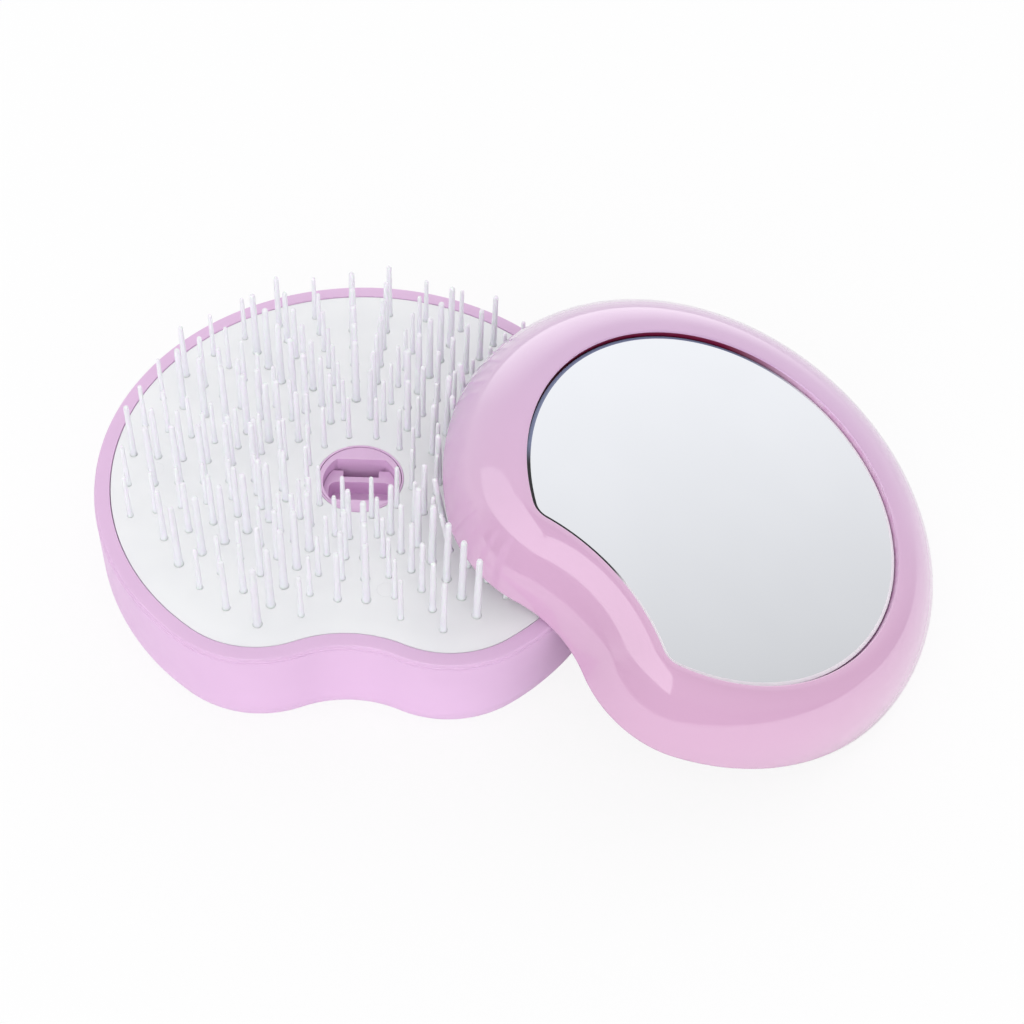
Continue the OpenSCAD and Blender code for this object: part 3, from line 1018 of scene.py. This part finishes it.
@dataclass
class CoverHalf(SubAssembly):
    """The domed cover with its mirror, lying tilted against the brush half.

    Attributes:
        height: Height above the opening edge.
        wall: Wall thickness.
        inset: How far the cover's edge lies inside the outline.
        side_band: Width of the band between the cover's round side and the mirror.
        forward: How far the mirror's centre lies forward.
        side: How far it lies sideways.
        turn: Turn of the mirror in its plane, in degrees.
        notch_band: Width of the band between notch and mirror.
        mirror_notch_r: Radius of the mirror's edge beside the notch.
        corner_r: Radius of the mirror's corners.
        profile_n: Roundness of the dome near its opening.
        profile_q: Roundness of the dome near its lip.
        out: How far the opening's middle lies beyond the round outline.
        y: How far it lies behind the catch.
        azimuth: Direction that it tilts to.
        spin: Turn about its own axis.
        rest_gap: Height of its edge over the rim that it leans on.
        rest_reach: Where it leans there, as a share of the round outline's radius.
        lip: Width of the lip round the mirror.
        ceiling_t: Wall over the mirror's seat.
        mirror_t: Thickness of the mirror.
        pad_t: Thickness of its pad.
        lip_drop: How deep the mirror lies under the lip.
        mirror_gap: Gap round the mirror.
    """

    height: float = 13.0
    wall: float = 1.3
    inset: float = 0.4
    side_band: float = 11.16
    forward: float = 4.16
    side: float = 1.15
    turn: float = -1.95
    notch_band: float = 6.07
    mirror_notch_r: float = 30.95
    corner_r: float = 3.1
    profile_n: float = 1.54
    profile_q: float = 1.87
    out: float = 9.25
    y: float = -4.8
    azimuth: float = -18.75
    spin: float = -23.5
    rest_gap: float = 0.5
    rest_reach: float = 0.351
    lip: float = 1.0
    ceiling_t: float = 0.8
    mirror_t: float = 0.9
    pad_t: float = 0.2
    lip_drop: float = 0.8
    mirror_gap: float = 0.3

    def edge(self, inset: float = 0.0) -> Outline:
        """Returns the outline of the cover's opening edge, moved inwards."""
        return self.sizes.outer(self.inset + inset)

    def mirror_edge(self, grow: float = 0.0) -> list[Point2]:
        """Returns the mirror's outline, grown outwards and put in its place in the cover."""
        s = self.sizes
        outer = self.edge()
        middle = outer.notch_y + outer.notch_r + self.notch_band - self.mirror_notch_r
        edge = Outline(
            outer.round_r - self.side_band, s.head_y - self.forward, self.corner_r, self.mirror_notch_r, middle
        ).inset(-grow)
        c, d = math.cos(math.radians(self.turn)), math.sin(math.radians(self.turn))
        return [(x * c - y * d + self.side, x * d + y * c) for x, y in edge.points()]

    def place(self) -> Matrix:
        """Returns where the cover lies: its edge on the ground on one side and on the rim on the other."""
        s = self.sizes
        c, d = math.cos(math.radians(self.spin)), math.sin(math.radians(self.spin))
        low_reach = max(x * c - y * d for x, y in self.edge().points(2))
        tilt = math.asin((s.rim_top + self.rest_gap) / (low_reach + self.rest_reach * s.head_r))
        at = Matrix.Translation((s.head_r + self.out, self.y, low_reach * math.sin(tilt)))
        return (
            at
            @ Matrix.Rotation(math.radians(self.azimuth), 4, "Z")
            @ Matrix.Rotation(tilt, 4, "Y")
            @ Matrix.Rotation(math.radians(self.spin), 4, "Z")
        )

    def rise(self, share: float) -> float:
        """Returns the dome's height, from 0 to 1, a share of the way from the opening to the lip."""
        return max(0.0, 1 - (1 - share) ** self.profile_q) ** (1 / self.profile_n)

    def dome(self) -> bpy.types.Object:
        """Builds the dome: its hollow, its outside, the rounded lip and the mirror's seat."""
        mesh = Mesh()
        steps = 44
        s = self.sizes
        shares = [math.sin(math.pi / 2 * k / steps) ** 2 for k in range(steps + 1)]
        inner, outer = self.edge(self.wall).points(), self.edge().points()
        lip, under = self.mirror_edge(self.lip), self.mirror_edge()
        ceiling = self.height - self.mirror_t - self.pad_t - self.lip_drop - self.ceiling_t
        rings = [mesh.ring(between(inner, under, t), ceiling * self.rise(t)) for t in reversed(shares)]
        rings[-1] = mesh.ring(self.edge(self.wall - 0.1).points(), 0.02)
        rings.append(mesh.ring(self.edge(self.wall / 2).points(), 0.0))
        rings.append(mesh.ring(self.edge(0.12).points(), 0.0))
        rings += [mesh.ring(between(outer, lip, t), self.height * self.rise(t)) for t in shares[1:]]
        seat = self.mirror_gap
        top, floor = self.height, self.height - self.mirror_t - self.pad_t - self.lip_drop
        rings.append(mesh.ring(self.mirror_edge(seat + 0.45), top))
        for grow, z in rounded((seat + 0.45, top), (seat, top), (seat, floor), 0.25, 5):
            rings.append(mesh.ring(self.mirror_edge(grow), z))
        bottom = mesh.ring(self.mirror_edge(seat), floor)
        mesh.loft(rings)
        mesh.cap(rings[0], (self.side, s.head_y - self.forward, ceiling), 8)
        # The recess wall and the seat take the second finish, which holds the painted recess shadow.
        mesh.finish = 1
        mesh.loft([rings[-1], bottom])
        mesh.cap(bottom, (self.side, s.head_y - self.forward, floor), 8)
        return mesh.piece("cover_dome", self.place())

    def mirror(self) -> bpy.types.Object:
        """Builds the mirror with its polished bevel."""
        mesh = Mesh()
        top = self.height - self.lip_drop
        low = top - self.mirror_t
        rows = [(-0.05, low), (0.0, low + 0.05), (0.0, top - 0.16), (-0.5, top - 0.01), (-0.54, top)]
        rings = [mesh.ring(self.mirror_edge(grow), z) for grow, z in rows]
        middle = (self.side, self.sizes.head_y - self.forward)
        mesh.cap(rings[0], (*middle, low), 4)
        mesh.cap(rings[-1], (*middle, top), 4)
        # The bevel takes the second finish, which holds its painted reflections.
        mesh.finish = 1
        mesh.loft(rings)
        return mesh.piece("mirror", self.place(), 6.0)

    def build(
        self,
        gloss: bpy.types.Material,
        glass: bpy.types.Material,
        foam: bpy.types.Material,
        steel: bpy.types.Material,
    ) -> None:
        """Builds and dresses the cover's pieces, with the painted shadow in the recess and the painted reflections
        on the mirror's bevel.

        Args:
            gloss: The pink gloss plastic.
            glass: The mirror's silvering.
            foam: The pad under the mirror.
            steel: The metal of the screws.
        """
        # Painted light round the mirror: a deep red painted shadow on the recess wall at the back; on the bevel a
        # painted white reflection, a painted blue-grey reflection at the back and a painted black reflection at the
        # front.
        back, front = (38.0, 14.0, 34.5), (30.0, -19.5, 33.0)
        recess = PaintedLightEdge("recess_wall_painted_shadow", (208, 164, 200), 0.45, (PaintedLightSpot(back, 22.0, 38.0, (112, 6, 52)),))
        bevel = PaintedLightEdge(
            "mirror_bevel_painted_reflections",
            (250, 250, 252),
            0.3,
            (PaintedLightSpot(back, 24.0, 40.0, (126, 136, 170)), PaintedLightSpot(front, 10.0, 14.0, (16, 13, 22))),
        )
        self.settle(self.dome(), Body.COVER, Slot.COVER, ("cover_shell",), gloss, recess.material())
        self.settle(self.mirror(), Body.COVER, Slot.MIRROR, ("mirror_glass",), glass, bevel.material())
        for node in ("push_collar", "hook_post"):
            self.dress(node, gloss)
        self.dress("cover_screws", steel)
        self.dress("mirror_pad", foam)


# ---------------------------------------------------------------------------
# Studio
# ---------------------------------------------------------------------------


@dataclass(frozen=True)
class Softbox:
    """One soft lamp.

    Attributes:
        name: Name of the lamp.
        centre: Its middle, in metres.
        facing: Direction that it shines in.
        width: Its width in metres.
        height: Its height in metres.
        radiance: Its brightness, where 1 is white.
        gleam: Its brightness in reflections.
        roll: Turn about its own axis, in degrees.
    """

    name: str
    centre: Point3
    facing: Point3
    width: float
    height: float
    radiance: float
    gleam: float = 0.0
    roll: float = 0.0

    def panel(self) -> bpy.types.Object:
        """Adds the lamp, its height upright but for the roll."""
        data = bpy.data.lights.new(self.name, "AREA")
        data.shape = "RECTANGLE"
        data.size, data.size_y = self.width, self.height
        data.energy = self.radiance * math.pi * self.width * self.height
        lamp = bpy.data.objects.new(self.name, data)
        bpy.context.scene.collection.objects.link(lamp)
        lamp.location = self.centre
        lamp.rotation_mode = "QUATERNION"
        turn = Matrix.Rotation(math.radians(self.roll), 3, "Z").to_quaternion()
        lamp.rotation_quaternion = (-Vector(self.facing)).to_track_quat("Z", "Y") @ turn
        return lamp

    def light(self) -> None:
        """Adds the lamp, which lights, and a glowing face of the same shape that only reflections show."""
        lamp = self.panel()
        lamp.visible_glossy = False
        mesh = Mesh()
        across, up = self.width / 2 / MM, self.height / 2 / MM
        mesh.cap(mesh.ring([(-across, -up), (across, -up), (across, up), (-across, up)], 0.0), (0, 0, 0), 1)
        face = mesh.piece(f"{self.name}_face")
        face.location = lamp.location
        face.rotation_mode = "QUATERNION"
        face.rotation_quaternion = lamp.rotation_quaternion
        material = bpy.data.materials.new(f"{self.name}_glow")
        material.use_nodes = True
        graph = Graph(material.node_tree)
        glow = graph.add("ShaderNodeEmission", None, {"Color": (1.0, 1.0, 1.0, 1.0), "Strength": self.gleam})
        graph.add("ShaderNodeOutputMaterial", None, {"Surface": glow.outputs[0]})
        face.data.materials.append(material)
        face.visible_camera = face.visible_diffuse = face.visible_shadow = face.visible_transmission = False


@dataclass
class Studio:
    """Floor, world light, lamps and camera.

    Attributes:
        focal: Focal length in millimetres.
        shift: Sideways shift of the frame.
        spot: Where the camera stands, in metres.
        pitch: How far it looks down, in degrees.
        yaw: Its turn about the vertical, in degrees.
        sides: Directions that the soft room light comes from, each with its level.
        sheet_edge: Front edge of the white sheet that the object lies on, in metres.
        sheet_blur: Half the width over which the sheet's tone ends there, in metres.
        sheet: Tone of the sheet.
        table: Tone of the table before it, which only reflections and bounced light show.
        floor_half: Half the floor's width, in millimetres.
        floor_z: Its height, in millimetres.
        floor_glow: Share of plain white in what the camera sees of it.
        boxes: The lamps.
    """

    focal: float = 63.457
    shift: float = 0.11426
    spot: Point3 = (0.012566, -0.186386, 0.237018)
    pitch: float = 50.5
    yaw: float = 2.15
    sides: tuple[tuple[Point3, float], ...] = (
        ((-0.1, -0.995, 0.0), 1.95),
        ((0.0, 1.0, 0.0), 1.82),
        ((1.0, 0.0, 0.0), 0.5),
    )
    sheet_edge: float = -0.085
    sheet_blur: float = 0.004
    sheet: Rgb = (250, 250, 251)
    table: Rgb = (120, 120, 122)
    floor_half: float = 900.0
    floor_z: float = -0.02
    floor_glow: float = 0.86
    boxes: tuple[Softbox, ...] = (
        Softbox("left_softbox", (-0.234, -0.885, 0.98), (0.94, 0.166, -0.298), 2.35, 1.84, 0.32, 1.65, -6.8),
    )

    def floor(self) -> None:
        """Lays the plain pale floor, white to the camera but for the object's shadow."""
        mesh = Mesh()
        half = self.floor_half
        corners = [(-half, -half), (half, -half), (half, half), (-half, half)]
        mesh.cap(mesh.ring(corners, self.floor_z), (0, 0, self.floor_z), 1)
        thing = mesh.piece("floor")
        material = bpy.data.materials.new("floor_paper")
        material.use_nodes = True
        graph = Graph(material.node_tree)
        path = graph.add("ShaderNodeLightPath")
        seen = Signal(graph, path.outputs["Is Camera Ray"])
        start, end = self.sheet_edge - self.sheet_blur, self.sheet_edge + self.sheet_blur
        on_sheet = graph.split(graph.place())[1].ramp(start, end)
        tone = graph.blend(seen.most(on_sheet), self.table, self.sheet)
        paper = graph.add("ShaderNodeBsdfDiffuse", None, {"Color": tone})
        glow = graph.add("ShaderNodeEmission", None, {"Color": (1.0, 1.0, 1.0, 1.0), "Strength": 1.0})
        ends = {0: seen * self.floor_glow, 1: paper.outputs[0], 2: glow.outputs[0]}
        both = graph.add("ShaderNodeMixShader", None, ends)
        graph.add("ShaderNodeOutputMaterial", None, {"Surface": both.outputs[0]})
        thing.data.materials.append(material)

    def world(self) -> None:
        """Lights the scene from a pale room; the backdrop is white, and greyer to one side in reflections."""
        world = bpy.data.worlds.new("studio")
        world.use_nodes = True
        bpy.context.scene.world = world
        graph = Graph(world.node_tree)
        path = graph.add("ShaderNodeLightPath")
        camera = Signal(graph, path.outputs["Is Camera Ray"])
        glossy = Signal(graph, path.outputs["Is Glossy Ray"])
        through = Signal(graph, path.outputs["Is Transmission Ray"])
        shown = camera.most(through)
        direction = graph.add("ShaderNodeTexCoord").outputs["Generated"]
        room = graph.toward(direction, self.sides[0][0]).most(0.0) * self.sides[0][1]
        for side, strength in self.sides[1:]:
            room = room + graph.toward(direction, side).most(0.0) * strength
        backdrop = graph.toward(direction, (-0.29, 0.957, 0.0)).ramp(-0.12, 0.45, 0.307, 1.058)
        backdrop = backdrop + graph.toward(direction, (0.0, 1.0, 0.0)).ramp(0.72, 0.98) * 0.65
        level = shown + (1.0 - shown) * (room * (1.0 - glossy) + backdrop * glossy)
        back = graph.add("ShaderNodeBackground", None, {"Color": (1.0, 1.0, 1.0, 1.0), "Strength": level})
        graph.add("ShaderNodeOutputWorld", None, {"Surface": back.outputs[0]})

    def camera(self) -> None:
        """Stands the camera up."""
        data = bpy.data.cameras.new("camera")
        data.lens, data.sensor_width = self.focal, 36.0
        data.shift_x = self.shift
        data.clip_start, data.clip_end = 0.01, 20.0
        thing = bpy.data.objects.new("camera", data)
        thing.location = self.spot
        thing.rotation_euler = (math.radians(90.0 - self.pitch), 0.0, math.radians(self.yaw))
        bpy.context.scene.collection.objects.link(thing)
        bpy.context.scene.camera = thing

    def build(self) -> None:
        """Builds the whole studio."""
        self.floor()
        self.world()
        self.camera()
        for box in self.boxes:
            box.light()
            LOG.info("lit %s", box.name)
        bpy.context.scene.view_settings.view_transform = "Standard"


def main() -> None:
    """Builds the finishes, both halves and the studio in order."""
    logging.basicConfig(level=logging.INFO, format="%(name)s: %(message)s")
    sizes = Sizes()
    lilac = MouldedPlastic("satin_lilac", (226, 189, 225), (223, 186, 222), 0.37).material()
    pink = GlossPlastic(
        "gloss_pink", (210, 173, 210), (208, 171, 208), 0.09, skin_depth=0.0003, wave_depth=0.0015, skin=1.0
    ).material()
    marks = tuple((x, y, sizes.plate_top) for x, y in ((-31.0, -8.0), (-32.6, 0.8), (-7.5, -21.5), (5.0, -22.0)))
    white = PlatePlastic("plate_white", (240, 241, 243), (235, 236, 239), 0.42, marks=marks).material()
    # The nylon's darker tone is painted shade at the bristles' feet, mixed with a little random speckle.
    nylon = Nylon("nylon", (224, 225, 229), (218, 219, 225), 0.42, glow=0.8).material()
    steel = PlainSteel("plain_steel").material()
    foam = Foam("dark_foam").material()
    glass = Silvering("silvered_glass").material()
    BrushHalf(sizes).build(lilac, steel)
    BristleBed(sizes).build(lilac, white, nylon)
    CoverHalf(sizes).build(pink, glass, foam, steel)
    Studio().build()


if __name__ == "__main__":
    main()
